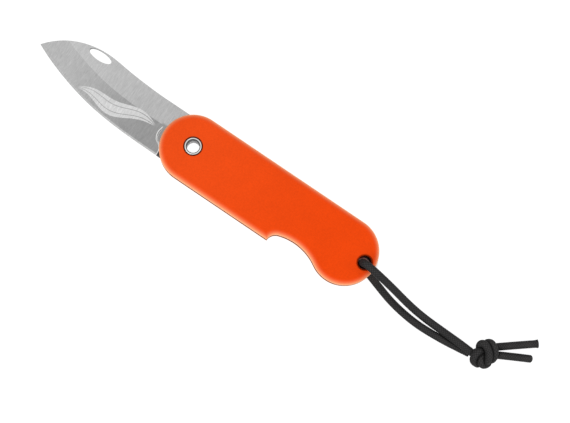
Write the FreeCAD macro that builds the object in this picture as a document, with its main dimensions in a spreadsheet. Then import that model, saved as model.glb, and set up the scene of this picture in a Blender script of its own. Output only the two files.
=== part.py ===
import FreeCAD, Part
import math
import os

import Sketcher
from FreeCAD import Vector

# Folding rigging knife: a slip-joint pocket knife with laminated handle scales, a hollow pivot
# that can be threaded with a line, a sheepsfoot blade and a loop of elastic cord.
#
# Frame, in millimetres: the origin is on the pivot axis at the middle of the blade's thickness,
# +X runs from the pivot to the butt, +Y to the back of the handle and +Z out of the front scale.
# The blade is modelled open, so it points to -X. It closes by turning 178 degrees about +Z.

SHEET_ROWS = [
    # handle
    ("gap", 2.6, "space between the scales"),
    ("scale_thickness", 3.2, "each scale"),
    ("end_radius", 13.2, "outline radius of both ends"),
    ("axis_drop", 0.5, "the outline's middle line is this far below the pivot"),
    ("front_x", 0.4, "centre of the front end's arc"),
    ("butt_x", 70.5, "centre of the butt's arc"),
    ("edge_round", 2.2, "round-over of the scales' outer edges"),
    ("notch_corner_x", 43.3, "where the finger notch starts on the belly"),
    ("notch_small_radius", 4.1, "first arc of the finger notch"),
    ("notch_large_radius", 20.8, "second arc of the finger notch"),
    # pivot
    ("bore_radius", 2.5, "hole through the hollow pivot"),
    ("tube_radius", 3.0, "outside of the hollow pivot"),
    ("lip_radius", 3.3, "flared front lip of the hollow pivot"),
    ("lip_height", 0.6, "height of the flared lip"),
    ("lip_round", 0.2, "rounding of the tube's ends"),
    ("front_recess_radius", 3.75, "counterbore in the front scale"),
    ("rear_recess_radius", 4.2, "counterbore in the rear scale"),
    ("recess_depth", 0.75, "depth of both counterbores"),
    ("flush_gap", 0.05, "the pivot stops this far under the scales' faces"),
    ("bushing_radius", 3.6, "outside of the bushing that the blade turns on"),
    ("washer_radius", 6.0, "outside of the washers"),
    ("washer_thickness", 0.18, "each washer"),
    # blade
    ("blade_thickness", 2.2, "at the spine"),
    ("running_clearance", 0.04, "radial clearance of the blade on its bushing"),
    ("tang_height", 7.5, "height of the tang's flats above the pivot"),
    ("tang_radius", 8.3, "round end of the tang"),
    ("shoulder_x", -4.0, "front shoulder that stops the open blade"),
    ("heel_x", -5.0, "rear end of the straight part under the tang"),
    ("closing_angle", 178.0, "degrees from open to closed"),
    ("bevel_heel_width", 11.4, "width of the main bevel at the heel"),
    ("bevel_tip_width", 9.9, "width of the main bevel at the tip"),
    ("bevel_lip", 0.22, "half thickness where the main bevel meets the sharpened edge"),
    ("edge_width", 0.6, "width of the sharpened edge"),
    ("edge_lip", 0.03, "half thickness at the cutting edge"),
    ("plunge_lean", 38.0, "degrees that the wall behind the bevels leans back"),
    ("blade_hole_long", 4.95, "half length of the oval hole"),
    ("blade_hole_short", 1.85, "half width of the oval hole"),
    # back spring, spacer and fasteners
    ("spring_side_gap", 0.02, "between the spring and each scale"),
    ("stop_gap", 0.03, "between the spring's nose and the tang"),
    ("nose_end_x", 3.6, "rear corner of the spring's nose"),
    ("spring_arm_x", 4.5, "front end of the spring's thin arm"),
    ("spring_arm_y", 10.6, "underside of the spring's thin arm"),
    ("pin_radius", 1.0, "dowel pins and screw shanks"),
    ("hole_gap", 0.01, "radial gap round pins, screws and the pivot tube"),
    ("pin_depth", 1.6, "how deep a pin goes into each scale"),
    ("screw_head_radius", 1.9, "countersunk screw head"),
    ("screw_head_height", 1.0, "countersunk screw head"),
    ("screw_socket_radius", 0.75, "hexagon socket, across the corners"),
    ("screw_socket_depth", 0.7, "hexagon socket"),
    ("insert_radius", 1.6, "threaded insert in the front scale"),
    ("insert_length", 2.0, "threaded insert"),
    ("thread_bite", 0.05, "how far the screw's thread bites into the insert"),
    ("lanyard_x", 79.2, "lanyard hole"),
    ("lanyard_y", -0.1, "lanyard hole"),
    ("lanyard_radius", 2.5, "lanyard hole"),
    ("lanyard_rim", 0.8, "countersink of the lanyard hole"),
    # elastic cord
    ("cord_radius", 1.5, "elastic cord"),
    ("knot_length", 5.2, "half length of the knot"),
    ("knot_width", 5.9, "half width of the knot"),
    ("knot_height", 4.5, "half height of the knot"),
]

BLADE_SPINE = [
    (-71.6, 0.15), (-65.4, 6.0), (-58.3, 9.7), (-52.3, 11.2), (-46.3, 11.6),
    (-38.2, 10.85), (-28.0, 10.05), (-16.0, 9.8),
]
BLADE_EDGE = [
    (-5.0, -10.5), (-20.0, -10.4), (-32.0, -9.9), (-44.0, -8.45), (-56.0, -5.6),
    (-64.3, -2.9), (-71.6, 0.15),
]
PLUNGE = [(-14.0, 1.5), (-14.75, -2.6), (-13.9, -5.1), (-11.7, -6.7), (-10.6, -8.2), (-10.4, -11.0)]
# Corners of the space that the bevels are ground in; they lie outside the blade.
GROUND_FRONT_X = -76.0
GROUND_Y = (-14.0, 13.5)
BEVEL_STATIONS = 14
BEVEL_OVERRUN = 2.0
BLADE_HOLE = (-49.7, 9.3)
SPRING_UNDERSIDE = [(14.0, 10.6), (22.0, 10.25), (32.0, 9.5), (42.0, 8.3), (52.0, 5.8), (60.0, 3.4)]
SPRING_END_X = 64.5
SPACER_TIP = [(64.5, 1.9), (73.4, -1.8), (74.5, -3.6)]
SPRING_PINS = [(46.0, 10.1), (59.0, 8.4)]
SCREWS = [(52.5, 9.6), (69.5, 8.0), (77.4, -7.8)]

# The cord lies on the same surface as the knife. The strand under the butt lifts the butt, so
# that surface meets the rear scale near its front end and falls away towards +X.
FLOOR_X = -10.6
FLOOR_SLOPE = 0.0345
UPPER_ROUTE = [
    (78.6, -0.5, 0.0), (78.6, -0.5, 4.4), (80.4, -0.6, 6.25), (84.4, -1.05, 6.15), (89.6, -1.7, 4.7),
    (94.8, -2.3, 1.6), (100.0, -2.95, -2.2), (105.6, -3.5, -5.6), (111.5, -3.9, -7.1),
    (117.8, -4.1, -7.0), (123.5, -4.4, -5.4), (128.9, -4.6, -4.95), (133.5, -4.95, -4.85),
]
LOWER_ROUTE = [
    (78.6, -0.5, 0.0), (78.7, -0.6, -4.3), (80.3, -1.05, -6.15), (84.0, -2.1, -6.25), (89.5, -3.85, -6.45),
    (96.0, -5.8, -6.65), (103.0, -7.0, -6.9), (110.0, -7.55, -7.15), (117.5, -7.2, -7.4),
    (125.0, -6.5, -7.65), (132.5, -5.4, -7.9),
]
KNOT_PLACE = (137.1, -3.1)
TAIL_ROUTES = {
    "lanyard_tail_upper": [(139.9, 2.5, -6.2), (146.3, 7.7, -7.9), (152.7, 12.7, -8.55)],
    "lanyard_tail_lower": [(142.0, 0.1, -6.3), (148.0, 3.4, -8.0), (154.3, 6.6, -8.6)],
}

doc = FreeCAD.newDocument("RiggingKnife")
sheet = doc.addObject("Spreadsheet::Sheet", "Dimensions")
for number, (alias, value, note) in enumerate(SHEET_ROWS, start=1):
    sheet.set(f"A{number}", alias)
    sheet.set(f"B{number}", str(value))
    sheet.set(f"C{number}", note)
    sheet.setAlias(f"B{number}", alias)
doc.recompute()

subparts = []


def dim(alias):
    return float(sheet.get(alias))


def keep(feature, node):
    """Name a finished sub-part; it is written to a file of that name."""
    feature.Label = node
    subparts.append(feature)
    return feature


# Sketches and features ---------------------------------------------------------------------------

def new_body(name):
    return doc.addObject("PartDesign::Body", name + "_body")


def new_sketch(body, name, geometry, height="0"):
    """A sketch parallel to the body's XY plane, lifted by the expression height."""
    sketch = body.newObject("Sketcher::SketchObject", name)
    support = next(f for f in body.Origin.OriginFeatures if f.Role == "XY_Plane")
    sketch.AttachmentSupport = [(support, "")]
    sketch.MapMode = "FlatFace"
    sketch.setExpression("AttachmentOffset.Base.z", height)
    sketch.addGeometry(geometry, False)
    return sketch


def circle_sketch(body, name, centre, radii, height="0"):
    """Concentric circles whose radii are bound to the sheet."""
    sketch = new_sketch(body, name, [], height)
    for radius in radii:
        index = sketch.addGeometry(Part.Circle(Vector(*centre, 0), Vector(0, 0, 1), 1.0), False)
        sketch.addConstraint(Sketcher.Constraint("DistanceX", -1, 1, index, 3, centre[0]))
        sketch.addConstraint(Sketcher.Constraint("DistanceY", -1, 1, index, 3, centre[1]))
        bound = sketch.addConstraint(Sketcher.Constraint("Radius", index, 1.0))
        sketch.setExpression(f"Constraints[{bound}]", radius)
    return sketch


def extrude(body, kind, name, sketch, length, reversed_=False, symmetric=False):
    """A Pad or a Pocket whose length is bound to the sheet; it has to change the body's volume."""
    before = body.Shape.Volume if body.Tip else 0.0
    feature = body.newObject("PartDesign::" + kind, name)
    feature.Profile = sketch
    feature.setExpression("Length", length)
    feature.Reversed = reversed_
    feature.SideType = "Symmetric" if symmetric else "One side"
    doc.recompute()
    grown = body.Shape.Volume - before
    if (kind == "Pad") != (grown > 0) or abs(grown) < 1e-6:
        raise RuntimeError(f"{name} changed the volume by {grown:.4f}")
    return feature


def drill(body, name, centre, radius, top, depth):
    """A round hole from the height top downwards."""
    sketch = circle_sketch(body, name + "_sketch", centre, [radius], top)
    return extrude(body, "Pocket", name, sketch, depth)


def round_edges(body, name, edges_wanted, radius):
    base = body.Tip
    names = [f"Edge{i}" for i, edge in enumerate(base.Shape.Edges, start=1) if edges_wanted(edge)]
    feature = body.newObject("PartDesign::Fillet", name)
    feature.Base = (base, names)
    feature.setExpression("Radius", radius)
    doc.recompute()
    return feature


def countersink(body, name, centre, side):
    """A cone that opens the lanyard hole towards the scale's outer face."""
    cone = body.newObject("PartDesign::SubtractiveCone", name)
    face = f"{side} * (Dimensions.gap / 2 + Dimensions.scale_thickness)"
    narrow, wide = "Dimensions.lanyard_radius", "Dimensions.lanyard_radius + Dimensions.lanyard_rim"
    cone.setExpression("Radius1", narrow if side > 0 else wide)
    cone.setExpression("Radius2", wide if side > 0 else narrow)
    cone.setExpression("Height", "Dimensions.lanyard_rim")
    cone.Placement.Base = Vector(*centre, 0)
    cone.setExpression("Placement.Base.z", f"{face} - Dimensions.lanyard_rim" if side > 0 else face)
    doc.recompute()
    return cone


def lines(points):
    return [
        Part.LineSegment(Vector(*a, 0), Vector(*b, 0)) for a, b in zip(points[:-1], points[1:])
    ]


def spline(points):
    curve = Part.BSplineCurve()
    curve.interpolate([Vector(*p, 0) for p in points])
    return curve


def arc(centre, radius, start, end):
    """Counter-clockwise arc between two angles in radians."""
    circle = Part.Circle(Vector(*centre, 0), Vector(0, 0, 1), radius)
    return Part.ArcOfCircle(circle, start, end)


# Handle ------------------------------------------------------------------------------------------

def notch_geometry():
    """Centres and tangent points of the finger notch's two arcs."""
    radius, small, large = dim("end_radius"), dim("notch_small_radius"), dim("notch_large_radius")
    belly = -dim("axis_drop") - radius
    small_centre = Vector(dim("notch_corner_x") + small, belly, 0)
    butt_centre = Vector(dim("butt_x"), -dim("axis_drop"), 0)
    # The large arc touches the small one from inside and the butt's arc from outside.
    span = butt_centre.sub(small_centre)
    to_small, to_butt = large - small, large + radius
    along = (to_small**2 - to_butt**2 + span.Length**2) / (2 * span.Length)
    down = math.sqrt(to_small**2 - along**2)
    unit = Vector(span).normalize()
    large_centre = small_centre + unit * along + Vector(unit.y, -unit.x, 0) * down
    first = small_centre + (small_centre.sub(large_centre)).normalize() * small
    second = large_centre + (butt_centre.sub(large_centre)).normalize() * large
    return small_centre, large_centre, first, second


def angle_about(centre, point):
    return math.atan2(point.y - centre.y, point.x - centre.x)


def handle_outline():
    """The scales' outline: two round ends, a straight back, and a belly with the finger notch."""
    radius, middle = dim("end_radius"), -dim("axis_drop")
    small_centre, large_centre, first, second = notch_geometry()
    front, butt = (dim("front_x"), middle), (dim("butt_x"), middle)
    back, belly = middle + radius, middle - radius
    corner = (dim("notch_corner_x"), belly)
    butt_start = angle_about(Vector(*butt, 0), second)
    return [
        arc(front, radius, math.pi / 2, 3 * math.pi / 2),
        Part.LineSegment(Vector(front[0], belly, 0), Vector(*corner, 0)),
        arc(
            (small_centre.x, small_centre.y), dim("notch_small_radius"),
            angle_about(small_centre, first), math.pi,
        ),
        arc(
            (large_centre.x, large_centre.y), dim("notch_large_radius"),
            angle_about(large_centre, second), angle_about(large_centre, first),
        ),
        arc(butt, radius, butt_start, math.pi / 2),
        Part.LineSegment(Vector(butt[0], back, 0), Vector(front[0], back, 0)),
    ]


def make_scale(node, side):
    """A scale with a rounded outer edge; side is +1 for the front and -1 for the rear."""
    body = new_body(node)
    inner = "Dimensions.gap / 2" if side > 0 else "-Dimensions.gap / 2"
    face = "(Dimensions.gap / 2 + Dimensions.scale_thickness)"
    top = face if side > 0 else inner
    through = "Dimensions.scale_thickness"
    outline = new_sketch(body, node + "_outline", handle_outline(), inner)
    extrude(body, "Pad", node + "_plate", outline, through, reversed_=side < 0)

    outer_z = side * (dim("gap") / 2 + dim("scale_thickness"))

    def on_outer_face(edge):
        return all(abs(vertex.Z - outer_z) < 1e-6 for vertex in edge.Vertexes)

    round_edges(body, node + "_edge", on_outer_face, "Dimensions.edge_round")
    tube_hole = "Dimensions.tube_radius + Dimensions.hole_gap"
    pin_hole = "Dimensions.pin_radius + Dimensions.hole_gap"
    drill(body, node + "_pivot_hole", (0, 0), tube_hole, top, through)
    recess = "Dimensions.front_recess_radius" if side > 0 else "Dimensions.rear_recess_radius"
    recess_top = face if side > 0 else f"-{face} + Dimensions.recess_depth"
    drill(body, node + "_recess", (0, 0), recess, recess_top, "Dimensions.recess_depth")
    pin_top = "Dimensions.gap / 2 + Dimensions.pin_depth" if side > 0 else inner
    for number, place in enumerate(SPRING_PINS, start=1):
        drill(body, f"{node}_pin_hole_{number}", place, pin_hole, pin_top, "Dimensions.pin_depth")
    for number, place in enumerate(SCREWS, start=1):
        name = f"{node}_screw_hole_{number}"
        if side > 0:
            hole = "Dimensions.insert_radius + Dimensions.hole_gap"
            insert_top = "Dimensions.gap / 2 + Dimensions.insert_length"
            drill(body, name, place, hole, insert_top, "Dimensions.insert_length")
        else:
            drill(body, name, place, pin_hole, top, through)
            head = "Dimensions.screw_head_radius + Dimensions.hole_gap"
            head_top = f"-{face} + Dimensions.screw_head_height"
            drill(body, name + "_head", place, head, head_top, "Dimensions.screw_head_height")
    centre = (dim("lanyard_x"), dim("lanyard_y"))
    drill(body, node + "_lanyard_hole", centre, "Dimensions.lanyard_radius", top, through)
    countersink(body, node + "_lanyard_rim", centre, side)
    return keep(body, node)


def make_butt_spacer():
    """The block between the scales at the butt; the closed blade's tip stops short of it."""
    radius, middle = dim("end_radius"), -dim("axis_drop")
    back = middle + radius
    last = SPACER_TIP[-1]
    belly_angle = -math.acos((last[0] - dim("butt_x")) / radius)
    belly = (last[0], middle + radius * math.sin(belly_angle))
    inner = [(dim("butt_x"), back), (SPRING_END_X, back), *SPACER_TIP, belly]
    outline = [arc((dim("butt_x"), middle), radius, belly_angle, math.pi / 2), *lines(inner)]
    body = new_body("butt_spacer")
    sketch = new_sketch(body, "butt_spacer_outline", outline)
    extrude(body, "Pad", "butt_spacer_block", sketch, "Dimensions.gap", symmetric=True)
    top, depth = "Dimensions.gap / 2", "Dimensions.gap"
    centre = (dim("lanyard_x"), dim("lanyard_y"))
    drill(body, "butt_spacer_lanyard_hole", centre, "Dimensions.lanyard_radius", top, depth)
    pin_hole = "Dimensions.pin_radius + Dimensions.hole_gap"
    for number, place in enumerate(SCREWS[1:], start=1):
        drill(body, f"butt_spacer_screw_hole_{number}", place, pin_hole, top, depth)
    return keep(body, "butt_spacer")


def make_backspring():
    """The slip joint's spring: its nose presses on the tang's flats and stops the open blade."""
    radius, middle = dim("end_radius"), -dim("axis_drop")
    back = middle + radius
    nose_x = dim("shoulder_x") + dim("stop_gap")
    nose_y = dim("tang_height") + dim("stop_gap")
    front = (dim("front_x"), middle)
    start_angle = math.acos((nose_x - front[0]) / radius)
    start = (nose_x, middle + radius * math.sin(start_angle))
    nose = [start, (nose_x, nose_y), (dim("nose_end_x"), nose_y)]
    arm = [(dim("spring_arm_x"), dim("spring_arm_y")), *SPRING_UNDERSIDE]
    under = [*nose, *arm, SPACER_TIP[0], (SPRING_END_X, back), (front[0], back)]
    outline = [arc(front, radius, math.pi / 2, start_angle), *lines(under)]
    body = new_body("backspring")
    sketch = new_sketch(body, "backspring_outline", outline)
    thickness = "Dimensions.gap - 2 * Dimensions.spring_side_gap"
    extrude(body, "Pad", "backspring_plate", sketch, thickness, symmetric=True)
    hole = "Dimensions.pin_radius + Dimensions.hole_gap"
    for number, place in enumerate([*SPRING_PINS, SCREWS[0]], start=1):
        drill(body, f"backspring_hole_{number}", place, hole, "Dimensions.gap / 2", "Dimensions.gap")
    return keep(body, "backspring")


# Pivot -------------------------------------------------------------------------------------------

def make_pivot_tube():
    """The hollow pivot, a tube with a flared lip that sits in the front scale's counterbore."""
    body = new_body("pivot_tube")
    half = "(Dimensions.gap / 2 + Dimensions.scale_thickness - Dimensions.flush_gap)"
    rings = ["Dimensions.tube_radius", "Dimensions.bore_radius"]
    tube = circle_sketch(body, "pivot_tube_sketch", (0, 0), rings)
    extrude(body, "Pad", "pivot_tube_wall", tube, f"2 * {half}", symmetric=True)
    rings = ["Dimensions.lip_radius", "Dimensions.bore_radius"]
    lip = circle_sketch(body, "pivot_lip_sketch", (0, 0), rings, half)
    extrude(body, "Pad", "pivot_lip", lip, "Dimensions.lip_height", reversed_=True)
    end = dim("gap") / 2 + dim("scale_thickness") - dim("flush_gap")

    def rim(edge):
        return isinstance(edge.Curve, Part.Circle) and abs(abs(edge.Curve.Center.z) - end) < 1e-6

    round_edges(body, "pivot_tube_rims", rim, "Dimensions.lip_round")
    return keep(body, "pivot_tube")


def make_ring(node, radii, bottom, height):
    body = new_body(node)
    sketch = circle_sketch(body, node + "_sketch", (0, 0), radii, bottom)
    extrude(body, "Pad", node + "_ring", sketch, height)
    return keep(body, node)


def make_pivot_rings():
    on_tube = "Dimensions.tube_radius + Dimensions.hole_gap"
    on_bushing = "Dimensions.bushing_radius + Dimensions.running_clearance"
    make_ring(
        "pivot_bushing", ["Dimensions.bushing_radius", on_tube], "-Dimensions.gap / 2", "Dimensions.gap"
    )
    washer = ["Dimensions.washer_radius", on_bushing]
    thickness = "Dimensions.washer_thickness"
    make_ring("front_washer", washer, f"Dimensions.gap / 2 - {thickness}", thickness)
    make_ring("rear_washer", washer, "-Dimensions.gap / 2", thickness)
    make_ring(
        "pivot_collar",
        ["Dimensions.rear_recess_radius - 2 * Dimensions.flush_gap", on_tube],
        "-Dimensions.gap / 2 - Dimensions.scale_thickness + Dimensions.flush_gap",
        "Dimensions.recess_depth - Dimensions.flush_gap",
    )


# Blade -------------------------------------------------------------------------------------------

def blade_outline():
    """Spine, cutting edge and the tang with its two flats and round end."""
    height, radius = dim("tang_height"), dim("tang_radius")
    reach = math.sqrt(radius**2 - height**2)
    turn = math.radians(-dim("closing_angle"))
    normal = Vector(-math.sin(turn), math.cos(turn), 0)
    along = Vector(-normal.y, normal.x, 0)
    flat_end = normal * height + along * reach
    step = (dim("heel_x") - normal.x * height) / along.x
    heel_top = normal * height + along * step
    shoulder = dim("shoulder_x")
    spine_y = BLADE_SPINE[-1][1]
    tang = [BLADE_SPINE[-1], (shoulder, spine_y), (shoulder, height), (reach, height)]
    heel = [(flat_end.x, flat_end.y), (heel_top.x, heel_top.y), BLADE_EDGE[0]]
    start = math.atan2(flat_end.y, flat_end.x)
    return [
        spline(BLADE_SPINE),
        *lines(tang),
        arc((0, 0), radius, start, math.atan2(height, reach)),
        *lines(heel),
        spline(BLADE_EDGE),
    ]


def bevel_cutter(name, widths, root, lip):
    """What a grinding wheel takes from the front side: the space over a ruled face.

    The face falls from root above the middle plane to lip at the edge. Its width changes evenly
    between the two given ones, from the heel to the tip.
    """
    edge = spline(BLADE_EDGE)
    first, last = edge.FirstParameter, edge.LastParameter
    heel_width, tip_width = widths
    inner, outer = [], []
    for station in range(BEVEL_STATIONS + 1):
        share = station / BEVEL_STATIONS
        at = first + (last - first) * share
        forward = edge.tangent(at)[0]
        width = heel_width + (tip_width - heel_width) * share
        rise = Vector(forward.y, -forward.x, (root - lip) / width)
        rim = edge.value(at) + Vector(0, 0, lip)
        inner.append(rim + rise * (width + BEVEL_OVERRUN))
        outer.append(rim - rise * BEVEL_OVERRUN)
    tip_step = edge.tangent(last)[0] * BEVEL_OVERRUN
    inner.append(inner[-1] + tip_step)
    outer.append(outer[-1] + tip_step)
    rails = []
    for points in (inner, outer):
        rail = Part.BSplineCurve()
        rail.interpolate(points)
        rails.append(rail.toShape())
    face = Part.makeRuledSurface(*rails)
    cutter = doc.addObject("Part::Feature", name)
    cutter.Shape = face.extrude(Vector(0, 0, 2 * dim("blade_thickness")))
    return cutter


def ground_region():
    """The space that the bevels are ground in; its rear wall, the plunge, leans back."""
    below, above = GROUND_Y
    lean = math.tan(math.radians(dim("plunge_lean")))
    wires = []
    for height in (0.0, dim("blade_thickness")):
        plunge = [(x + lean * height, y) for x, y in PLUNGE]
        (top_x, _), (low_x, _) = plunge[0], plunge[-1]
        corners = [(low_x, below), (GROUND_FRONT_X, below), (GROUND_FRONT_X, above), (top_x, above)]
        sides = [spline(plunge), *lines([plunge[-1], *corners, plunge[0]])]
        wire = Part.Wire([side.toShape() for side in sides])
        wire.translate(Vector(0, 0, height))
        wires.append(wire)
    region = doc.addObject("Part::Feature", "ground_region")
    region.Shape = Part.makeLoft(wires, True, True)
    return region


def make_blade():
    blank = new_body("blade")
    sketch = new_sketch(blank, "blade_outline", blade_outline())
    extrude(blank, "Pad", "blade_plate", sketch, "Dimensions.blade_thickness", symmetric=True)
    top = "Dimensions.blade_thickness / 2"
    bore = "Dimensions.bushing_radius + Dimensions.running_clearance"
    drill(blank, "blade_bore", (0, 0), bore, top, "Dimensions.blade_thickness")
    oval = Part.Ellipse(Vector(*BLADE_HOLE, 0), dim("blade_hole_long"), dim("blade_hole_short"))
    hole = new_sketch(blank, "blade_hole_outline", [oval], top)
    extrude(blank, "Pocket", "blade_hole", hole, "Dimensions.blade_thickness")

    region = ground_region()
    widths = (dim("bevel_heel_width"), dim("bevel_tip_width"))
    main = bevel_cutter("main_bevel", widths, dim("blade_thickness") / 2, dim("bevel_lip"))
    fine = bevel_cutter("fine_bevel", (dim("edge_width"),) * 2, dim("bevel_lip"), dim("edge_lip"))
    cutters = []
    for bevel in (main, fine):
        front = doc.addObject("Part::Common", bevel.Name + "_front")
        front.Base, front.Tool = bevel, region
        rear = doc.addObject("Part::Mirroring", bevel.Name + "_rear")
        rear.Source, rear.Normal = front, Vector(0, 0, 1)
        cutters += [front, rear]
    blade = blank
    for number, cutter in enumerate(cutters, start=1):
        cut = doc.addObject("Part::Cut", f"blade_grind_{number}")
        cut.Base, cut.Tool = blade, cutter
        blade = cut
    doc.recompute()
    return keep(blade, "blade")


# Fasteners ---------------------------------------------------------------------------------------

def cylinder(name, place, radius, bottom, height):
    """A Part cylinder bound to the sheet, standing at place from the height bottom."""
    rod = doc.addObject("Part::Cylinder", name)
    rod.setExpression("Radius", radius)
    rod.setExpression("Height", height)
    rod.Placement.Base = Vector(*place, 0)
    rod.setExpression("Placement.Base.z", bottom)
    return rod


def group(node, solids):
    compound = doc.addObject("Part::Compound", node + "_group")
    compound.Links = solids
    doc.recompute()
    return keep(compound, node)


def make_spring_pins():
    bottom = "-Dimensions.gap / 2 - Dimensions.pin_depth"
    length = "Dimensions.gap + 2 * Dimensions.pin_depth"
    group("spring_pins", [
        cylinder(f"spring_pin_{number}", place, "Dimensions.pin_radius", bottom, length)
        for number, place in enumerate(SPRING_PINS, start=1)
    ])


def make_screws():
    """Countersunk screws from the rear, with hexagon sockets."""
    rear = "(-Dimensions.gap / 2 - Dimensions.scale_thickness + Dimensions.flush_gap)"
    reach = "(Dimensions.gap + Dimensions.scale_thickness + Dimensions.insert_length)"
    screws = []
    for number, place in enumerate(SCREWS, start=1):
        shank = cylinder(
            f"screw_{number}_shank", place, "Dimensions.pin_radius",
            rear, f"{reach} - 4 * Dimensions.flush_gap",
        )
        head = doc.addObject("Part::Cone", f"screw_{number}_head")
        head.setExpression("Radius1", "Dimensions.screw_head_radius")
        head.setExpression("Radius2", "Dimensions.pin_radius")
        head.setExpression("Height", "Dimensions.screw_head_height - Dimensions.flush_gap")
        head.Placement.Base = Vector(*place, 0)
        head.setExpression("Placement.Base.z", rear)
        solid = doc.addObject("Part::Fuse", f"screw_{number}_solid")
        solid.Base, solid.Tool = shank, head
        socket = doc.addObject("Part::Prism", f"screw_{number}_socket")
        socket.Polygon = 6
        socket.setExpression("Circumradius", "Dimensions.screw_socket_radius")
        socket.setExpression("Height", "Dimensions.screw_socket_depth")
        socket.Placement.Base = Vector(*place, 0)
        socket.setExpression("Placement.Base.z", rear)
        screw = doc.addObject("Part::Cut", f"screw_{number}")
        screw.Base, screw.Tool = solid, socket
        screws.append(screw)
    group("scale_screws", screws)


def make_inserts():
    inserts = []
    for number, place in enumerate(SCREWS, start=1):
        bottom = "Dimensions.gap / 2"
        sleeve = cylinder(
            f"insert_{number}_sleeve", place, "Dimensions.insert_radius", bottom, "Dimensions.insert_length"
        )
        thread = cylinder(
            f"insert_{number}_thread", place, "Dimensions.pin_radius - Dimensions.thread_bite",
            bottom, "Dimensions.insert_length",
        )
        insert = doc.addObject("Part::Cut", f"insert_{number}")
        insert.Base, insert.Tool = sleeve, thread
        inserts.append(insert)
    group("screw_inserts", inserts)


# Elastic cord ------------------------------------------------------------------------------------

def floor_height(x):
    """Height of the surface that the knife lies on."""
    return -dim("gap") / 2 - dim("scale_thickness") - FLOOR_SLOPE * (x - FLOOR_X)


def tube(node, route):
    """A round tube along straight runs joined by tangent arcs."""
    points = [Vector(*p) for p in route]
    edges, radii, start = [], [], points[0]
    for before, corner, after in zip(points[:-2], points[1:-1], points[2:]):
        into, out = corner.sub(before), after.sub(corner)
        turn = into.getAngle(out)
        shorter = min(into.Length, out.Length)
        setback = 0.45 * shorter
        radii.append(setback / math.tan(turn / 2))
        first = corner - into.normalize() * setback
        last = corner + out.normalize() * setback
        bisector = (first + last) * 0.5 - corner
        away = radii[-1] / math.cos(turn / 2) - radii[-1]
        middle = corner + bisector.normalize() * away
        edges.append(Part.LineSegment(start, first).toShape())
        edges.append(Part.Arc(first, middle, last).toShape())
        start = last
    edges.append(Part.LineSegment(start, points[-1]).toShape())
    path = Part.Wire(edges)
    direction = points[1].sub(points[0])
    ring = Part.Wire([Part.Circle(points[0], direction, dim("cord_radius")).toShape()])
    feature = doc.addObject("Part::Feature", node + "_tube")
    feature.Shape = path.makePipeShell([ring], True, False)
    section = math.pi * dim("cord_radius") ** 2
    ratio = feature.Shape.Volume / (section * path.Length)
    tightest = ", ".join(f"{radius:.1f}" for radius in radii)
    print(f"{node}: length {path.Length:.2f}, volume ratio {ratio:.4f}, arc radii {tightest}")
    return keep(feature, node)


def make_cord():
    tube("lanyard_upper", UPPER_ROUTE)
    tube("lanyard_lower", LOWER_ROUTE)
    for node, route in TAIL_ROUTES.items():
        tube(node, route)
    knot = doc.addObject("Part::Ellipsoid", "lanyard_knot_solid")
    knot.setExpression("Radius2", "Dimensions.knot_length")
    knot.setExpression("Radius3", "Dimensions.knot_width")
    knot.setExpression("Radius1", "Dimensions.knot_height")
    knot.Placement.Base = Vector(*KNOT_PLACE, floor_height(KNOT_PLACE[0]) + dim("knot_height"))
    keep(knot, "lanyard_knot")


make_scale("front_scale", 1)
make_scale("rear_scale", -1)
make_butt_spacer()
make_backspring()
make_pivot_tube()
make_pivot_rings()
make_blade()
make_spring_pins()
make_screws()
make_inserts()
make_cord()
doc.recompute()

for item in doc.Objects:
    if {"Invalid", "Error"} & set(item.State):
        raise RuntimeError(f"{item.Name} ({item.Label}) did not compute: {item.State}")
for feature in subparts:
    if feature.Shape.isNull() or not feature.Shape.isValid():
        raise RuntimeError(f"{feature.Label} has no valid shape")

os.makedirs("parts", exist_ok=True)
for feature in subparts:
    feature.Shape.exportStep(f"parts/{feature.Label}.step")
    box = feature.Shape.BoundBox
    print(
        f"{feature.Label}: {len(feature.Shape.Solids)} solid(s), {feature.Shape.Volume:.1f} mm3, "
        f"x {box.XMin:.2f} to {box.XMax:.2f}, y {box.YMin:.2f} to {box.YMax:.2f}, "
        f"z {box.ZMin:.2f} to {box.ZMax:.2f}"
    )
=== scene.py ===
import math

import bpy
import numpy as np
from mathutils import Matrix, Vector
from mathutils.kdtree import KDTree


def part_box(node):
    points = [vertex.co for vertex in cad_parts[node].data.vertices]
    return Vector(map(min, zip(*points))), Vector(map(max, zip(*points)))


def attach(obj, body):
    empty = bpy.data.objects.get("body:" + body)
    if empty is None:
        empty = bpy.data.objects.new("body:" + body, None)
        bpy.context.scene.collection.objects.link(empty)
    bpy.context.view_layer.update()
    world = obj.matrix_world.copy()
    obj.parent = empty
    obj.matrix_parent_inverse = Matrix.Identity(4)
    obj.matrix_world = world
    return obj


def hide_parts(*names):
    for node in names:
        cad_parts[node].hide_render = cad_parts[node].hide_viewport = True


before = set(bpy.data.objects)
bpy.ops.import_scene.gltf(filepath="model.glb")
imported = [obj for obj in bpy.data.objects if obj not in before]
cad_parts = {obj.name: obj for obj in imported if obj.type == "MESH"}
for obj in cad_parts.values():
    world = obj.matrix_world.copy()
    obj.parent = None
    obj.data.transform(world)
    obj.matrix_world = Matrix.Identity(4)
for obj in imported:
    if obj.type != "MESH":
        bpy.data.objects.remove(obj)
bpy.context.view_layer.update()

MM = 0.001
rear_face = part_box("rear_scale")[0].z

# The surface that the knife lies on: the strand of cord under the butt lifts the butt, so the
# surface meets the rear scale near its front end and falls away towards +X.
FLOOR_X = -10.6 * MM
FLOOR_SLOPE = 0.0345

# Camera -----------------------------------------------------------------------------------------

CAMERA_PLACE = Vector((0.0647, -0.0710, 0.6461))
CAMERA_TARGET = Vector((0.0431, -0.0009, 0.003))
CAMERA_ROLL = math.radians(34.0)
CAMERA_LENS = 106.9


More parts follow.
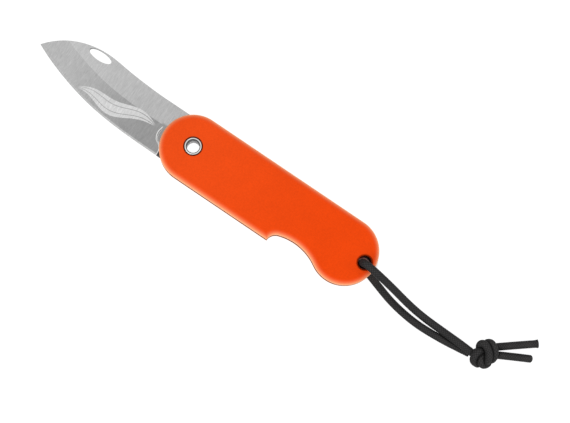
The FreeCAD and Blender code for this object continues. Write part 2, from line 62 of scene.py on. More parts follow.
def make_camera():
    """The knife is seen from above, from a little beyond its belly, and turned in the picture."""
    data = bpy.data.cameras.new("camera")
    data.lens = CAMERA_LENS
    data.clip_start, data.clip_end = 0.02, 10.0
    camera = bpy.data.objects.new("camera", data)
    bpy.context.scene.collection.objects.link(camera)
    forward = (CAMERA_TARGET - CAMERA_PLACE).normalized()
    up_hint = Vector((-math.sin(CAMERA_ROLL), math.cos(CAMERA_ROLL), 0))
    right = forward.cross(up_hint).normalized()
    up = right.cross(forward)
    turn = Matrix((right, up, -forward)).transposed()
    camera.matrix_world = Matrix.Translation(CAMERA_PLACE) @ turn.to_4x4()
    bpy.context.scene.camera = camera


make_camera()

# Cord -------------------------------------------------------------------------------------------

CORD_RADIUS = 1.5 * MM
# Yarns each way round the braid, the depth of its relief and how far a yarn runs in one turn.
CARRIERS = 8
BRAID_RELIEF = 0.045
BRAID_PITCH = 8.2 * MM
CREASE_WIDTH = 1.0 * MM
# The braided mesh: points round the cord, and how far apart its rings are.
AROUND = 48
ALONG = 0.17 * MM
# How the ends finish: rounded where the cord is sealed or passes out of sight, or frayed open.
KNOT_END = 1.5 * MM
SEALED_END = 1.1 * MM
FRAYED_END = 0.25 * MM
FRAY_SPREAD = 0.14
SMALLEST_END = 0.02

UPPER_ROUTE = [
    (0.0786, -0.0005, 0.0), (0.0786, -0.0005, 0.0044), (0.0804, -0.0006, 0.00625),
    (0.0844, -0.00105, 0.00615), (0.0896, -0.0017, 0.0047), (0.0948, -0.0023, 0.0016),
    (0.1000, -0.00295, -0.0022), (0.1056, -0.0035, -0.0056), (0.1115, -0.0039, -0.0071),
    (0.1178, -0.0041, -0.0070), (0.1235, -0.0044, -0.0054), (0.1289, -0.0046, -0.00495),
    (0.1335, -0.00495, -0.00485),
]
LOWER_ROUTE = [
    (0.0786, -0.0005, 0.0), (0.0787, -0.0006, -0.0043), (0.0803, -0.00105, -0.00615),
    (0.0840, -0.0021, -0.00625), (0.0895, -0.00385, -0.00645), (0.0960, -0.0058, -0.00665),
    (0.1030, -0.0070, -0.0069), (0.1100, -0.00755, -0.00715), (0.1175, -0.0072, -0.0074),
    (0.1250, -0.0065, -0.00765), (0.1325, -0.0054, -0.0079),
]
TAIL_UPPER_ROUTE = [
    (0.1399, 0.0025, -0.0062), (0.1463, 0.0077, -0.0079), (0.1527, 0.0127, -0.00855),
]
TAIL_LOWER_ROUTE = [
    (0.1420, 0.0001, -0.0063), (0.1480, 0.0034, -0.0080), (0.1543, 0.0066, -0.0086),
]

# The turns of the overhand knot, each from where it comes up to where it goes under again.
KNOT_TURNS = {
    "near": [
        (0.1365, -0.0006, -0.0058), (0.1353, -0.0021, -0.0034), (0.1342, -0.0043, -0.0030),
        (0.1345, -0.0068, -0.0038), (0.1360, -0.0075, -0.0058), (0.1384, -0.0068, -0.0076),
    ],
    "belly": [
        (0.1372, -0.0014, -0.0055), (0.1366, -0.0034, -0.0044), (0.1371, -0.0056, -0.0037),
        (0.1387, -0.0067, -0.0047), (0.1403, -0.0056, -0.0062), (0.1408, -0.0036, -0.0078),
    ],
    "arch": [
        (0.1362, -0.0036, -0.0062), (0.1346, -0.0021, -0.0046), (0.1336, -0.0007, -0.0035),
        (0.1344, 0.0004, -0.0024), (0.1367, -0.0002, -0.0020), (0.1385, -0.0017, -0.0021),
        (0.1395, -0.0036, -0.0030), (0.1394, -0.0053, -0.0050), (0.1378, -0.0056, -0.0072),
    ],
    "far": [
        (0.1352, -0.0008, -0.0070), (0.1354, 0.0012, -0.0050), (0.1366, 0.0023, -0.0034),
        (0.1384, 0.0016, -0.0026), (0.1401, 0.0000, -0.0028), (0.1410, -0.0018, -0.0038),
        (0.1407, -0.0034, -0.0058), (0.1392, -0.0036, -0.0078),
    ],
    "under": [
        (0.1338, -0.0048, -0.0066), (0.1352, -0.0020, -0.0078), (0.1374, 0.0004, -0.0080),
        (0.1396, 0.0010, -0.0072), (0.1408, 0.0012, -0.0062),
    ],
}


def route_line(name, route):
    """Points along the smooth line that has the route's points as its control points."""
    curve = bpy.data.curves.new(name + "_route", "CURVE")
    curve.dimensions = "3D"
    spline = curve.splines.new("NURBS")
    spline.points.add(len(route) - 1)
    for point, place in zip(spline.points, route):
        point.co = (*place, 1.0)
    spline.order_u = 3
    spline.use_endpoint_u = True
    spline.resolution_u = 24
    holder = bpy.data.objects.new(name + "_route", curve)
    mesh = bpy.data.meshes.new_from_object(holder)
    line = np.array([v.co for v in mesh.vertices])
    bpy.data.objects.remove(holder)
    bpy.data.meshes.remove(mesh)
    bpy.data.curves.remove(curve)
    return line


def respaced(line, step):
    along = np.concatenate([[0.0], np.cumsum(np.linalg.norm(np.diff(line, axis=0), axis=1))])
    count = max(2, int(round(along[-1] / step)) + 1)
    at = np.linspace(0.0, along[-1], count)
    return np.stack([np.interp(at, along, line[:, k]) for k in range(3)], axis=1), at


def braid_height(turn, along):
    """Relief of a diamond braid, 0 to 1; turn is 0 to 1 round the cord."""
    a = CARRIERS * turn + along * CARRIERS / BRAID_PITCH
    b = CARRIERS * turn - along * CARRIERS / BRAID_PITCH
    a_over = 0.5 + 0.5 * np.sin(math.pi * (a - b) / 2) * np.sin(math.pi * (a + b) / 2)
    crown_a = np.abs(np.sin(math.pi * a)) ** 0.6
    crown_b = np.abs(np.sin(math.pi * b)) ** 0.6
    return a_over * crown_a + (1 - a_over) * crown_b


def braided_tube(name, route, radius=CORD_RADIUS, taper_start=0.0, taper_end=0.0, flare=0.0):
    """A closed braided tube along a route. Its ends are flat, or rounded where a taper is given."""
    line, along = respaced(route_line(name, route), ALONG)
    forward = np.gradient(line, axis=0)
    forward /= np.linalg.norm(forward, axis=1)[:, None]
    side = np.cross(forward[0], (0.31, 0.95, 0.2))
    side /= np.linalg.norm(side)
    rings, coords, length = [], [], along[-1]
    turn = np.arange(AROUND) / AROUND
    angle = 2 * math.pi * turn
    for i, centre in enumerate(line):
        side = side - forward[i] * side.dot(forward[i])
        side /= np.linalg.norm(side)
        other = np.cross(forward[i], side)
        from_end = length - along[i]
        shrink = 1.0
        if taper_start and along[i] < taper_start:
            shrink = math.sqrt(max(SMALLEST_END, 1 - (1 - along[i] / taper_start) ** 2))
        if taper_end and from_end < taper_end:
            shrink = math.sqrt(max(SMALLEST_END, 1 - (1 - from_end / taper_end) ** 2))
        if flare and from_end < 4 * flare:
            shrink = 1.0 + FRAY_SPREAD * (1 - from_end / (4 * flare))
        relief = 1.0 + BRAID_RELIEF * (braid_height(turn, along[i]) - 0.62)
        reach = radius * shrink * relief
        outward = np.cos(angle)[:, None] * side + np.sin(angle)[:, None] * other
        rings.append(centre + reach[:, None] * outward)
        round_about = np.full(AROUND, along[i] * CARRIERS / BRAID_PITCH)
        # The third number is how far the surface faces up, for the painted top light in the cord
        # material.
        coords.append(np.stack([turn * CARRIERS, round_about, outward[:, 2]], axis=1))
    points = np.concatenate(rings + [line[:1], line[-1:]])
    faces = []
    for i in range(len(line) - 1):
        for j in range(AROUND):
            k = (j + 1) % AROUND
            near, far = i * AROUND, (i + 1) * AROUND
            faces.append((near + j, near + k, far + k, far + j))
    start, end, last = len(points) - 2, len(points) - 1, (len(line) - 1) * AROUND
    for j in range(AROUND):
        k = (j + 1) % AROUND
        faces.append((start, k, j))
        faces.append((end, last + j, last + k))
    mesh = bpy.data.meshes.new(name)
    mesh.from_pydata(points.tolist(), [], faces)
    caps = [(0.0, 0.0, -forward[0][2]), (0.0, length * CARRIERS / BRAID_PITCH, forward[-1][2])]
    braid = np.concatenate([*coords, np.array(caps)]).astype(np.float32)
    attribute = mesh.attributes.new("braid", "FLOAT_VECTOR", "POINT")
    attribute.data.foreach_set("vector", braid.ravel())
    for polygon in mesh.polygons:
        polygon.use_smooth = True
    mesh.update()
    piece = bpy.data.objects.new(name, mesh)
    bpy.context.scene.collection.objects.link(piece)
    return piece, line


def shade_creases(tubes):
    """Stores how open the braid is at each point: 0 where two turns touch, 1 in the open. The cord
    material darkens it as painted shade in the creases.
    """
    for piece, line in tubes:
        others = np.concatenate([other_line for other, other_line in tubes if other is not piece])
        tree = KDTree(len(others))
        for i, point in enumerate(others):
            tree.insert(point, i)
        tree.balance()
        gap = np.array([tree.find(v.co)[2] for v in piece.data.vertices]) - CORD_RADIUS
        opened = np.clip(gap / CREASE_WIDTH, 0.0, 1.0).astype(np.float32)
        piece.data.attributes.new("opened", "FLOAT", "POINT").data.foreach_set("value", opened)


def join(name, pieces):
    """One object from several, keeping their mesh data."""
    with bpy.context.temp_override(
        active_object=pieces[0], selected_objects=pieces, selected_editable_objects=pieces
    ):
        bpy.ops.object.join()
    pieces[0].name = name
    pieces[0].data.name = name
    return pieces[0]


def make_cord():
    upper, upper_line = braided_tube("cord_over_butt", UPPER_ROUTE)
    lower, lower_line = braided_tube("cord_under_butt", LOWER_ROUTE)
    tails = [
        braided_tube("cord_end_upper", TAIL_UPPER_ROUTE, flare=FRAYED_END),
        braided_tube("cord_end_lower", TAIL_LOWER_ROUTE, taper_end=SEALED_END),
    ]
    turns = [
        braided_tube("turn_" + turn, route, taper_start=KNOT_END, taper_end=KNOT_END)
        for turn, route in KNOT_TURNS.items()
    ]
    shade_creases([(upper, upper_line), (lower, lower_line), *tails, *turns])
    (tail_upper, _), (tail_lower, _) = tails
    knot = join("overhand_knot", [turn for turn, _ in turns])
    stands_for = {
        upper: "lanyard_upper", lower: "lanyard_lower", knot: "lanyard_knot",
        tail_upper: "lanyard_tail_upper", tail_lower: "lanyard_tail_lower",
    }
    for piece, node in stands_for.items():
        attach(piece, "handle")
        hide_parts(node)
    return list(stands_for)


cord_pieces = make_cord()

# Material tools ---------------------------------------------------------------------------------


class Tree:
    """Builds one material's nodes; each call returns an output socket."""

    def __init__(self, name):
        self.material = bpy.data.materials.new(name)
        self.material.use_nodes = True
        self.nodes = self.material.node_tree.nodes
        self.links = self.material.node_tree.links
        self.nodes.clear()
        self.shader = self.nodes.new("ShaderNodeBsdfPrincipled")
        self.output = self.nodes.new("ShaderNodeOutputMaterial")
        self.links.new(self.shader.outputs[0], self.output.inputs[0])

    def put(self, value, socket):
        if isinstance(value, bpy.types.NodeSocket):
            self.links.new(value, socket)
        else:
            socket.default_value = value

    def set(self, **inputs):
        """Shader inputs by name, with _ for a space."""
        for name, value in inputs.items():
            self.put(value, self.shader.inputs[name.replace("_", " ")])

    def place(self):
        return self.nodes.new("ShaderNodeTexCoord").outputs["Object"]

    def normal(self):
        return self.nodes.new("ShaderNodeTexCoord").outputs["Normal"]

    def attribute(self, name, output="Vector"):
        node = self.nodes.new("ShaderNodeAttribute")
        node.attribute_name = name
        return node.outputs[output]

    def curve(self, value, points):
        """A curve through points, whose numbers run from 0 to 1."""
        node = self.nodes.new("ShaderNodeFloatCurve")
        shape = node.mapping.curves[0]
        shape.points[0].location, shape.points[-1].location = points[0], points[-1]
        for point in points[1:-1]:
            shape.points.new(*point)
        node.mapping.update()
        self.put(value, node.inputs["Value"])
        return node.outputs[0]

    def stretch(self, vector, scale, turn=(0, 0, 0)):
        node = self.nodes.new("ShaderNodeMapping")
        self.put(vector, node.inputs["Vector"])
        node.inputs["Rotation"].default_value = turn
        node.inputs["Scale"].default_value = scale
        return node.outputs[0]

    def split(self, vector):
        node = self.nodes.new("ShaderNodeSeparateXYZ")
        self.put(vector, node.inputs[0])
        return node.outputs

    def noise(self, vector, scale, detail=4.0, rough=0.55):
        node = self.nodes.new("ShaderNodeTexNoise")
        self.put(vector, node.inputs["Vector"])
        node.inputs["Scale"].default_value = scale
        node.inputs["Detail"].default_value = detail
        node.inputs["Roughness"].default_value = rough
        return node.outputs["Fac"]

    def math(self, kind, a, b=0.0, c=0.0):
        node = self.nodes.new("ShaderNodeMath")
        node.operation = kind
        for value, socket in zip((a, b, c), node.inputs):
            self.put(value, socket)
        return node.outputs[0]

    def span(self, value, low, high, to_low=0.0, to_high=1.0):
        """Maps low..high smoothly onto to_low..to_high."""
        node = self.nodes.new("ShaderNodeMapRange")
        node.interpolation_type = "SMOOTHSTEP"
        for item, socket in zip((value, low, high, to_low, to_high), node.inputs):
            self.put(item, socket)
        return node.outputs[0]

    def span_linear(self, value, low, high):
        """Maps low..high evenly onto 0..1."""
        node = self.nodes.new("ShaderNodeMapRange")
        for item, socket in zip((value, low, high), node.inputs):
            self.put(item, socket)
        return node.outputs[0]

    def wave(self, value, length):
        """A sine wave of the given length."""
        return self.math("SINE", self.math("MULTIPLY", value, 2 * math.pi / length))

    def product(self, *factors):
        result = factors[0]
        for factor in factors[1:]:
            result = self.math("MULTIPLY", result, factor)
        return result

    def mix(self, share, a, b):
        node = self.nodes.new("ShaderNodeMix")
        node.data_type = "RGBA"
        self.put(share, node.inputs[0])
        self.put((*a, 1.0) if isinstance(a, tuple) else a, node.inputs[6])
        self.put((*b, 1.0) if isinstance(b, tuple) else b, node.inputs[7])
        return node.outputs[2]

    def scale_colour(self, colour, factor):
        node = self.nodes.new("ShaderNodeVectorMath")
        node.operation = "SCALE"
        self.put(colour, node.inputs[0])
        self.put(factor, node.inputs["Scale"])
        return node.outputs[0]

    def distance(self, x, y, centre):
        across = self.math("SUBTRACT", x, centre[0])
        along = self.math("SUBTRACT", y, centre[1])
        square = self.math("MULTIPLY_ADD", across, across, self.math("MULTIPLY", along, along))
        return self.math("SQRT", square)

    def bump(self, height, distance, strength=1.0, normal=None):
        node = self.nodes.new("ShaderNodeBump")
        self.put(height, node.inputs["Height"])
        node.inputs["Distance"].default_value = distance
        node.inputs["Strength"].default_value = strength
        if normal is not None:
            self.put(normal, node.inputs["Normal"])
        return node.outputs[0]


# Materials --------------------------------------------------------------------------------------

ORANGE = (0.86, 0.062, 0.0012)
ORANGE_FRONT = (0.85, 0.074, 0.006)
ORANGE_PALE = (0.90, 0.41, 0.20)
DEEP_SHADE = (0.030, 0.006, 0.003)
HOLE_SHADE = (0.11, 0.008, 0.002)
LANYARD_HOLE = (79.2 * MM, -0.1 * MM)
HOLE_SHADE_RADIUS = 2.62 * MM
PIVOT_SHADE_RADIUS = 3.74 * MM
BLADE_HOLE = (-49.7 * MM, 9.3 * MM)
BLADE_HOLE_SLIMNESS = 1.85 / 4.95
# The plunge line: its x over the first span as its y runs over the second, both as 0 to 1.
PLUNGE_X = (-15.0 * MM, -10.0 * MM)
PLUNGE_Y = (-10.6 * MM, 1.9 * MM)
PLUNGE_LINE = [
    (0.0, 0.94), (0.19, 0.89), (0.31, 0.68), (0.44, 0.24), (0.64, 0.07), (0.82, 0.14), (1.0, 0.22),
]
SLOT_EDGE = (1.65 * MM, 1.40 * MM)
PLY = 0.21 * MM
WEAVE = 1.1 * MM
# The frosted swell on the blade: where it starts, its length, its slope and its half width.
SWELL_START = -52.0 * MM
SWELL_LENGTH = 37.0 * MM
SWELL_MIDDLE = -6.2 * MM
SWELL_CLIMB = 5.4 * MM
SWELL_WAVE = 1.1 * MM
SWELL_WAVES = 3.2 * math.pi
SWELL_HALF = 3.4 * MM
SWELL_TRIM = -0.3 * MM
# The filaments of one yarn in the braid.
FILAMENTS = 14


def laminate(name, dark=1.0):
    """Glass-fibre laminate: fine grain on the faces, pale plies where the edges are rounded, partly
    a painted highlight, and painted shade in the slot, round the pivot and in the lanyard hole.
    """
    tree = Tree(name)
    place = tree.place()
    x, y, z = tree.split(place)
    cloudy = tree.noise(place, 120.0, 3.0)
    grain = tree.noise(place, 1500.0, 3.0, 0.75)
    front, butt = (tuple(dark * c for c in colour) for colour in (ORANGE_FRONT, ORANGE))
    colour = tree.mix(tree.span(x, -0.012, 0.07), front, butt)
    tone = tree.math("ADD", tree.math("MULTIPLY", grain, 0.36), tree.math("MULTIPLY", cloudy, 0.14))
    colour = tree.scale_colour(colour, tree.math("ADD", tone, 0.76))
    facing = tree.math("ABSOLUTE", tree.split(tree.normal())[2])
    rounding = tree.math("SUBTRACT", 1.0, facing)
    edge = tree.math("MINIMUM", tree.math("MULTIPLY", rounding, 1.7), 1.0)
    wobble = tree.math("MULTIPLY", tree.noise(place, 160.0, 2.0), 0.0004)
    plies = tree.wave(tree.math("ADD", z, wobble), PLY)
    from_hole = tree.distance(x, y, LANYARD_HOLE)
    clear_of_hole = tree.span(from_hole, 3.2 * MM, 3.6 * MM)
    # Pale plies on the rounded edges: partly their own paler colour, partly a painted highlight.
    pale_plies_and_highlight = tree.math("MULTIPLY", edge, tree.math("MULTIPLY_ADD", plies, 0.07, 0.86))
    pale_plies_and_highlight = tree.math("MULTIPLY", pale_plies_and_highlight, clear_of_hole)
    colour = tree.mix(pale_plies_and_highlight, colour, ORANGE_PALE)
    # Painted shade along the slot between the scales and in a ring round the pivot.
    slot = tree.span(tree.math("ABSOLUTE", z), *SLOT_EDGE)
    from_pivot = tree.distance(x, y, (0.0, 0.0))
    pivot = tree.span(from_pivot, PIVOT_SHADE_RADIUS + 0.15 * MM, PIVOT_SHADE_RADIUS, 0.0, 0.7)
    # Painted shade in the lanyard hole: the countersink darker, the wall dark, turning dark red
    # towards the front face.
    hole = tree.span(from_hole, HOLE_SHADE_RADIUS + 0.1 * MM, HOLE_SHADE_RADIUS)
    rim = tree.span(from_hole, 3.4 * MM, 2.7 * MM, 0.0, 0.75)
    colour = tree.mix(rim, colour, HOLE_SHADE)
    wall = tree.mix(tree.span(z, 2.2 * MM, 4.2 * MM), DEEP_SHADE, HOLE_SHADE)
    colour = tree.mix(hole, colour, wall)
    colour = tree.mix(tree.math("MAXIMUM", slot, pivot), colour, DEEP_SHADE)
    scratch = tree.noise(tree.stretch(place, (1.0, 14.0, 1.0), (0, 0, 0.12)), 380.0, 5.0, 0.7)
    rough = tree.span(scratch, 0.3, 0.75, 0.42, 0.56)
    weave = tree.math("MULTIPLY", tree.wave(x, WEAVE), tree.wave(y, WEAVE))
    bump = tree.bump(weave, 0.004 * MM, 0.35)
    bump = tree.bump(grain, 0.02 * MM, 0.5, bump)
    bump = tree.bump(tree.math("MULTIPLY", plies, edge), 0.01 * MM, 0.4, bump)
    tree.set(Base_Color=colour, Roughness=rough, Normal=bump, Specular_IOR_Level=0.06)
    return tree.material


def blade_steel():
    """Ground stainless steel: lines across the blade, darker bevels (partly painted reflection) and
    a frosted swell; painted highlights on steep faces and painted shade in the oval hole and at the
    heel.
    """
    tree = Tree("blade_steel")
    place = tree.place()
    x, y, z = tree.split(place)
    fine = tree.noise(tree.stretch(place, (1.0, 0.04, 1.0), (0, 0, -0.06)), 3600.0, 3.0, 0.7)
    grain = tree.noise(tree.stretch(place, (1.0, 0.25, 1.0)), 2300.0, 3.0, 0.7)
    broad = tree.noise(tree.stretch(place, (1.0, 0.12, 1.0)), 300.0, 2.0, 0.5)
    tone = tree.math("ADD", tree.math("MULTIPLY", fine, 0.55), tree.math("MULTIPLY", grain, 0.45))
    facing = tree.math("ABSOLUTE", tree.split(tree.normal())[2])
    height = tree.math("ABSOLUTE", z)

    # Painted reflection: the flats and bevels are painted darker towards the tang and heel, the
    # bevels darker than the flats, partly for their grind and partly for how they catch the light.
    to_tang = tree.span(x, -60 * MM, -20 * MM)
    flat = tree.mix(to_tang, (0.625, 0.625, 0.625), (0.555, 0.555, 0.555))
    to_heel = tree.span(x, -62 * MM, -18 * MM)
    bevel = tree.mix(to_heel, (0.555, 0.555, 0.555), (0.37, 0.37, 0.37))
    on_bevel = tree.span(facing, 0.99985, 0.9995)
    # Painted shade: the ricasso behind the plunge line takes the dark bevel tone.
    behind = tree.product(
        tree.span(x, -15.2 * MM, -14.8 * MM), tree.span(y, 1.8 * MM, 0.8 * MM)
    )
    colour = tree.mix(tree.math("MAXIMUM", on_bevel, behind), flat, bevel)
    sharpened = tree.math("MULTIPLY", on_bevel, tree.span(height, 0.27 * MM, 0.21 * MM))
    colour = tree.mix(sharpened, colour, (0.53, 0.53, 0.53))

    # The frosted swell: a ribbon that follows the bevel, with two lines along it.
    run = tree.math("MULTIPLY", tree.math("SUBTRACT", x, SWELL_START), 1 / SWELL_LENGTH)
    rise = tree.math("SINE", tree.math("MULTIPLY", run, SWELL_WAVES))
    sway = tree.math("MULTIPLY_ADD", rise, SWELL_WAVE, SWELL_MIDDLE)
    middle = tree.math("MULTIPLY_ADD", run, SWELL_CLIMB, sway)
    along = tree.math("MINIMUM", tree.math("MAXIMUM", run, 0.0), 1.0)
    bulge = tree.math("SINE", tree.math("MULTIPLY", along, math.pi))
    half = tree.math("MULTIPLY_ADD", bulge, SWELL_HALF, SWELL_TRIM)
    off = tree.math("ABSOLUTE", tree.math("SUBTRACT", y, middle))
    inside = tree.span(tree.math("SUBTRACT", off, half), 0.08 * MM, -0.08 * MM)
    crest = tree.math("ABSOLUTE", tree.math("SUBTRACT", off, tree.math("MULTIPLY", half, 0.45)))
    front_side = tree.span(z, 0.0, 0.1 * MM)
    frost = tree.product(inside, tree.span(crest, 0.08 * MM, 0.18 * MM), front_side)
    colour = tree.mix(frost, colour, (0.74, 0.74, 0.74))

    tone = tree.math("MULTIPLY_ADD", tone, 1.0, tree.math("MULTIPLY_ADD", broad, 0.08, 0.46))
    colour = tree.scale_colour(colour, tone)
    # Painted highlight: steep faces such as the plunge wall, and a line along the plunge line, are
    # painted near white.
    wall = tree.math("MULTIPLY", tree.span(facing, 0.8, 0.7), tree.span(facing, 0.15, 0.3))
    share = tree.curve(tree.span_linear(y, *PLUNGE_Y), PLUNGE_LINE)
    across = tree.math("MULTIPLY_ADD", share, PLUNGE_X[1] - PLUNGE_X[0], PLUNGE_X[0])
    off_line = tree.math("ABSOLUTE", tree.math("SUBTRACT", x, across))
    below = tree.span(y, 0.4 * MM, -0.4 * MM)
    line = tree.product(tree.span(off_line, 0.20 * MM, 0.08 * MM), below, front_side)
    colour = tree.mix(tree.math("MAXIMUM", wall, line), colour, (0.98, 0.98, 0.97))
    # Painted shade on the inner wall of the oval hole.
    long = tree.math("MULTIPLY", tree.math("SUBTRACT", x, BLADE_HOLE[0]), BLADE_HOLE_SLIMNESS)
    wide = tree.math("SUBTRACT", y, BLADE_HOLE[1])
    wide_squared = tree.math("MULTIPLY", wide, wide)
    oval = tree.math("SQRT", tree.math("MULTIPLY_ADD", long, long, wide_squared))
    through = tree.product(tree.span(oval, 2.1 * MM, 2.0 * MM), tree.span(facing, 0.3, 0.1))
    colour = tree.mix(through, colour, (0.16, 0.16, 0.16))
    # Painted shade: a dark patch at the heel of the edge.
    heel = tree.product(
        tree.span(x, -10.4 * MM, -10.0 * MM), tree.span(y, -7.8 * MM, -8.4 * MM)
    )
    colour = tree.mix(heel, colour, (0.10, 0.10, 0.10))
    rough = tree.math("MULTIPLY_ADD", frost, 0.25, tree.span(fine, 0.2, 0.8, 0.30, 0.44))
    bump = tree.bump(fine, 0.006 * MM, 0.5)
    tree.set(Base_Color=colour, Metallic=1.0, Roughness=rough, Normal=bump)
    return tree.material


def polished_steel(name, colour, roughness):
    tree = Tree(name)
    place = tree.place()
    haze = tree.noise(place, 900.0, 4.0)
    turned = tree.noise(tree.stretch(place, (0.2, 0.2, 4.0)), 2400.0, 3.0)
    dark = tuple(0.82 * c for c in colour)
    tree.set(
        Base_Color=tree.mix(tree.span(haze, 0.3, 0.7), dark, colour),
        Metallic=1.0,
        Roughness=tree.span(haze, 0.3, 0.75, roughness * 0.8, roughness * 1.5),
        Normal=tree.bump(turned, 0.004 * MM, 0.4),
    )
    return tree.material


def hollow_pivot():
    """Polished tube: bright on its flared lip, with painted shade down inside and in a thin ring
    round the lip.
    """
    tree = Tree("pivot_steel")
    place = tree.place()
    x, y, z = tree.split(place)
    radius = tree.distance(x, y, (0.0, 0.0))
    haze = tree.noise(place, 900.0, 4.0)
    polished = tree.mix(tree.span(haze, 0.3, 0.7), (0.80, 0.78, 0.76), (0.93, 0.91, 0.89))
    outside = tree.span(radius, 2.76 * MM, 2.90 * MM)
    # Painted shade down inside the tube, darker towards its front end.
    inner = tree.mix(tree.span(z, 0.0, 3.5 * MM), (0.75, 0.75, 0.75), (0.10, 0.10, 0.10))
    colour = tree.mix(outside, inner, polished)
    # Painted shade in a thin dark ring round the lip.
    outermost = tree.span(radius, 3.18 * MM, 3.28 * MM)
    colour = tree.mix(outermost, colour, (0.12, 0.10, 0.09))
    turned = tree.noise(tree.stretch(place, (0.2, 0.2, 4.0)), 2400.0, 3.0)
    down_inside = tree.math("SUBTRACT", 1.0, outside)
    hazy = tree.span(haze, 0.3, 0.75, 0.12, 0.24)
    rough = tree.math("MULTIPLY_ADD", down_inside, 0.6, hazy)
    bump = tree.bump(turned, 0.004 * MM, 0.4)
    tree.set(Base_Color=colour, Metallic=outside, Roughness=rough, Normal=bump)
    tree.set(Specular_IOR_Level=0.1)
    return tree.material


def braided_cord():
    """Black polyester braid over elastic: each carrier has fine filaments along it. Painted light
    lightens what faces up; painted shade darkens the sides, the grooves and the creases where turns
    touch.
    """
    tree = Tree("cord_black")
    braid = tree.split(tree.attribute("braid"))
    a = tree.math("ADD", braid[0], braid[1])
    b = tree.math("SUBTRACT", braid[0], braid[1])
    rib_a = tree.math("ABSOLUTE", tree.math("SINE", tree.math("MULTIPLY", a, math.pi)))
    rib_b = tree.math("ABSOLUTE", tree.math("SINE", tree.math("MULTIPLY", b, math.pi)))
    crown = tree.math("MULTIPLY", rib_a, rib_b)
    filaments = tree.math("SINE", tree.math("MULTIPLY", a, FILAMENTS * math.pi))
    place = tree.place()
    fluff = tree.noise(place, 5200.0, 4.0, 0.7)
    cloudy = tree.noise(place, 260.0, 3.0)
    # Painted shade: the grooves between yarns are darker than their crowns.
    on_crown = tree.span(crown, 0.05, 0.75)
    colour = tree.mix(on_crown, (0.009, 0.009, 0.009), (0.027, 0.026, 0.0265))
    lint = tree.math("MULTIPLY", tree.span(fluff, 0.60, 0.8), 0.30)
    colour = tree.mix(lint, colour, (0.065, 0.062, 0.062))
    dusty = tree.math("MULTIPLY", tree.span(cloudy, 0.4, 0.7), 0.25)
    colour = tree.mix(dusty, colour, (0.036, 0.033, 0.031))
    # Painted light: lighter where the cord faces up and darker on its sides, with painted shade in
    # the creases where turns touch.
    upward = tree.math("POWER", tree.math("MAXIMUM", braid[2], 0.0), 2.4)
    opened = tree.span(tree.attribute("opened", "Fac"), 0.0, 0.9, 0.12, 1.0)
    lit = tree.math("MULTIPLY", opened, tree.math("MULTIPLY_ADD", upward, 1.10, 0.42))
    colour = tree.scale_colour(colour, lit)
    bump = tree.bump(filaments, 0.01 * MM, 0.5)
    bump = tree.bump(fluff, 0.03 * MM, 0.5, bump)
    tree.set(Base_Color=colour, Roughness=tree.span(fluff, 0.3, 0.7, 0.7, 0.9), Normal=bump)
    tree.set(Specular_IOR_Level=0.22, Sheen_Weight=0.06, Sheen_Roughness=0.4)
    return tree.material


def dress(nodes, material):
    for node in nodes:
        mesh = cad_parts[node].data
        mesh.materials.clear()
        mesh.materials.append(material)


dress(["front_scale", "rear_scale"], laminate("orange_laminate"))
dress(["butt_spacer"], laminate("spacer_laminate", dark=0.8))
dress(["blade"], blade_steel())
dress(["backspring"], polished_steel("spring_steel", (0.60, 0.60, 0.61), 0.28))
dress(["pivot_tube"], hollow_pivot())
dress(["pivot_collar"], polished_steel("collar_steel", (0.80, 0.80, 0.80), 0.18))
dress(["spring_pins", "scale_screws"], polished_steel("screw_steel", (0.62, 0.62, 0.63), 0.25))
bronze = polished_steel("bronze", (0.72, 0.50, 0.26), 0.24)
dress(["pivot_bushing", "front_washer", "rear_washer"], bronze)
dress(["screw_inserts"], polished_steel("brass", (0.80, 0.62, 0.28), 0.22))
cord_material = braided_cord()
for piece in cord_pieces:
    piece.data.materials.clear()
    piece.data.materials.append(cord_material)

# Floor and light --------------------------------------------------------------------------------


# The floor is just below the knife, so that the flared end of the cord doesn't cut into it.
FLOOR_GAP = 0.1 * MM
FLOOR_SIZE = 2.4
FLOOR_GLOW = 0.93
# A painted shadow: under the lanyard hole the floor is dark, from the first distance to the second.
HOLE_SHADOW = (3.5 * MM, 6.0 * MM)
LIGHT_TARGET = Vector((0.04, 0.0, 0.0))
WORLD_STRENGTH = 0.85


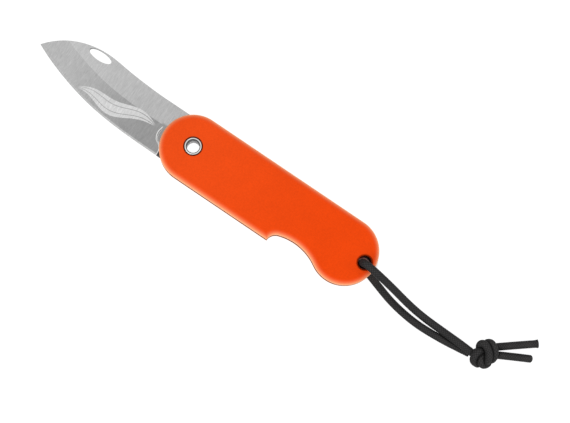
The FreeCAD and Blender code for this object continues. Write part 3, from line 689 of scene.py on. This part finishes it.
def make_floor():
    half = FLOOR_SIZE / 2
    mesh = bpy.data.meshes.new("floor")
    corners = [(-half, -half, 0), (half, -half, 0), (half, half, 0), (-half, half, 0)]
    mesh.from_pydata(corners, [], [(0, 1, 2, 3)])
    floor = bpy.data.objects.new("floor", mesh)
    bpy.context.scene.collection.objects.link(floor)
    floor.location = (FLOOR_X, 0, rear_face - FLOOR_GAP)
    floor.rotation_euler = (0, math.atan(FLOOR_SLOPE), 0)
    tree = Tree("floor_paper")
    place = tree.place()
    fibres = tree.noise(place, 700.0, 4.0)
    x, y, _ = tree.split(place)
    under_hole = tree.distance(x, y, (LANYARD_HOLE[0] - FLOOR_X, LANYARD_HOLE[1] + 1.5 * MM))
    tree.set(
        Base_Color=tree.mix(
            tree.span(fibres, 0.3, 0.7), (0.20, 0.20, 0.20), (0.24, 0.24, 0.24)
        ),
        Roughness=0.9,
        Normal=tree.bump(fibres, 0.02 * MM, 0.2),
        Specular_IOR_Level=0.1,
        Emission_Color=(1.0, 1.0, 1.0, 1.0),
        Emission_Strength=tree.span(under_hole, *HOLE_SHADOW, 0.0, FLOOR_GLOW),
    )
    mesh.materials.append(tree.material)


def make_softbox(name, place, size, power):
    data = bpy.data.lights.new(name, "AREA")
    data.shape = "RECTANGLE"
    data.size, data.size_y = size
    data.energy = power
    light = bpy.data.objects.new(name, data)
    bpy.context.scene.collection.objects.link(light)
    light.location = place
    aim = LIGHT_TARGET - Vector(place)
    light.rotation_euler = aim.to_track_quat("-Z", "Y").to_euler()


def make_light():
    make_softbox("key", (-0.05, -0.85, 0.45), (0.8, 0.4), 2.7)
    make_softbox("butt_side", (0.95, 0.35, 0.25), (0.6, 0.3), 1.3)
    world = bpy.data.worlds.new("world")
    bpy.context.scene.world = world
    world.use_nodes = True
    background = world.node_tree.nodes["Background"]
    background.inputs["Color"].default_value = (1.0, 1.0, 1.0, 1.0)
    background.inputs["Strength"].default_value = WORLD_STRENGTH
    bpy.context.scene.view_settings.view_transform = "Standard"


make_floor()
make_light()
